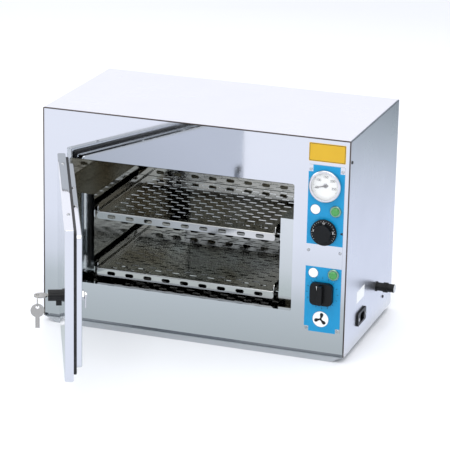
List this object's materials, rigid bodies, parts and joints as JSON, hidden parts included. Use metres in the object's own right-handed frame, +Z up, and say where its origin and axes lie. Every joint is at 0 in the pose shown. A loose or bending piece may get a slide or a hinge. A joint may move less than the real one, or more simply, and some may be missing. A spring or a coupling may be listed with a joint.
{
  "type": "hot air sterilizer",
  "caption": "Bench-top hot air sterilizer: polished steel cabinet, open plug door with lock and hanging keys, perforated trays on side racks, and a control column with dials and lamps.",
  "frame": {"origin": "centre of the cabinet's footprint, on the surface it stands on", "axes": "+X to the right seen from the front, +Y towards the back, +Z up; the door opens towards -Y"},
  "size_m": [0.5956, 0.7256, 0.397],
  "materials": {
    "polished_steel": "mirror-polished stainless steel",
    "satin_steel": "satin stainless steel",
    "liner_steel": "stainless steel darkened by heat",
    "mineral_wool": "mineral wool",
    "heater_sheath": "oxidised steel tube",
    "white_ceramic": "glazed ceramic",
    "aluminium_sheet": "plain sheet",
    "dark_enamel": "dark enamel",
    "printed_plate": "printed blue, with a bare band",
    "white_dial": "matt white",
    "bright_chrome": "bright plating",
    "clear_glass": "clear",
    "green_lens": "clear green",
    "light_plastic": "moulded",
    "black_plastic": "moulded black",
    "brass_pins": "plated pins",
    "zinc_screws": "bright zinc",
    "black_rubber": "moulded silicone"
  },
  "bodies": {
    "cabinet": {"outer_cover": "polished_steel", "front_panel": "polished_steel", "back_panel": "satin_steel", "base_pan": "satin_steel", "support_rails": "satin_steel", "chamber_liner": "liner_steel", "insulation": "mineral_wool", "control_partition": "satin_steel", "left_rack_wall": "satin_steel", "right_rack_wall": "satin_steel", "left_runners": "satin_steel", "right_runners": "satin_steel", "heating_element": "heater_sheath", "heater_bushes": "white_ceramic", "fan_motor": "dark_enamel", "control_plate": "printed_plate", "thermometer_case": "dark_enamel", "thermometer_dial": "white_dial", "thermometer_bezel": "bright_chrome", "thermometer_glass": "clear_glass", "lamp_bezels": "bright_chrome", "lamp_lenses": "green_lens", "thermostat_body": "light_plastic", "timer_body": "light_plastic", "power_inlet": "black_plastic", "inlet_pins": "brass_pins", "inlet_screws": "zinc_screws", "safety_thermostat": "black_plastic", "plate_screws": "zinc_screws", "cover_screws": "zinc_screws", "back_screws": "zinc_screws", "hinge_frame_leaves": "satin_steel", "hinge_pins": "satin_steel", "hinge_screws": "zinc_screws"},
    "door": {"door_outer_pan": "polished_steel", "door_inner_pan": "polished_steel", "door_insulation": "mineral_wool", "door_gasket": "black_rubber", "door_screws": "zinc_screws", "hinge_door_leaves": "satin_steel", "lock_housing": "black_plastic", "lock_nut": "satin_steel"},
    "lock_core": {"lock_cylinder": "satin_steel", "lock_cam": "satin_steel", "lock_key": "bright_chrome"},
    "ring": {"key_ring": "bright_chrome"},
    "hanging_key": {"spare_key": "bright_chrome"},
    "lower_rack_tray": {"lower_tray": "satin_steel"},
    "upper_rack_tray": {"upper_tray": "satin_steel"},
    "thermostat_control": {"thermostat_knob": "black_plastic", "thermostat_shaft": "satin_steel"},
    "timer_control": {"timer_knob": "black_plastic", "timer_shaft": "satin_steel"},
    "needle": {"thermometer_needle": "dark_enamel"},
    "fan_rotor": {"fan_impeller": "aluminium_sheet", "fan_shaft": "satin_steel"},
    "reset_cap": {"safety_cap": "black_plastic"}
  },
  "joints": [
    {"name": "door_swing", "type": "hinge", "parent": "cabinet", "child": "door", "pos_m": [-0.243, -0.1666, 0.195], "axis": [0, 0, 1], "range_deg": [-55, 65]},
    {"name": "lock_turn", "type": "hinge", "parent": "door", "child": "lock_core", "pos_m": [-0.0716, -0.54127, 0.2065], "axis": [-0.9063, -0.4226, 0], "range_deg": [0, 90]},
    {"name": "key_ring_swing", "type": "hinge", "parent": "lock_core", "child": "ring", "pos_m": [-0.10747, -0.5649, 0.2075], "axis": [0.4226, -0.9063, 0], "range_deg": [-15, 15]},
    {"name": "spare_key_swing", "type": "hinge", "parent": "ring", "child": "hanging_key", "pos_m": [-0.10747, -0.5649, 0.19089], "axis": [0.4226, -0.9063, 0], "range_deg": [-25, 25]},
    {"name": "lower_tray_slide", "type": "slide", "parent": "cabinet", "child": "lower_rack_tray", "axis": [0, 1, 0], "range_m": [-0.085, 0]},
    {"name": "upper_tray_slide", "type": "slide", "parent": "cabinet", "child": "upper_rack_tray", "axis": [0, 1, 0], "range_m": [-0.085, 0]},
    {"name": "thermostat_turn", "type": "hinge", "parent": "cabinet", "child": "thermostat_control", "pos_m": [0.2385, -0.151, 0.2335], "axis": [0, 1, 0], "range_deg": [-135, 135]},
    {"name": "timer_turn", "type": "hinge", "parent": "cabinet", "child": "timer_control", "pos_m": [0.2385, -0.151, 0.1235], "axis": [0, 1, 0], "range_deg": [0, 300]},
    {"name": "needle_turn", "type": "hinge", "parent": "cabinet", "child": "needle", "pos_m": [0.2385, -0.151, 0.3155], "axis": [0, 1, 0], "range_deg": [0, 225]},
    {"name": "fan_spin", "type": "hinge", "parent": "cabinet", "child": "fan_rotor", "pos_m": [0.18, 0, 0.1575], "axis": [1, 0, 0], "continuous": true},
    {"name": "safety_cap_turn", "type": "hinge", "parent": "cabinet", "child": "reset_cap", "pos_m": [0.295, 0.0475, 0.077], "axis": [1, 0, 0], "range_deg": [0, 90]}
  ]
}
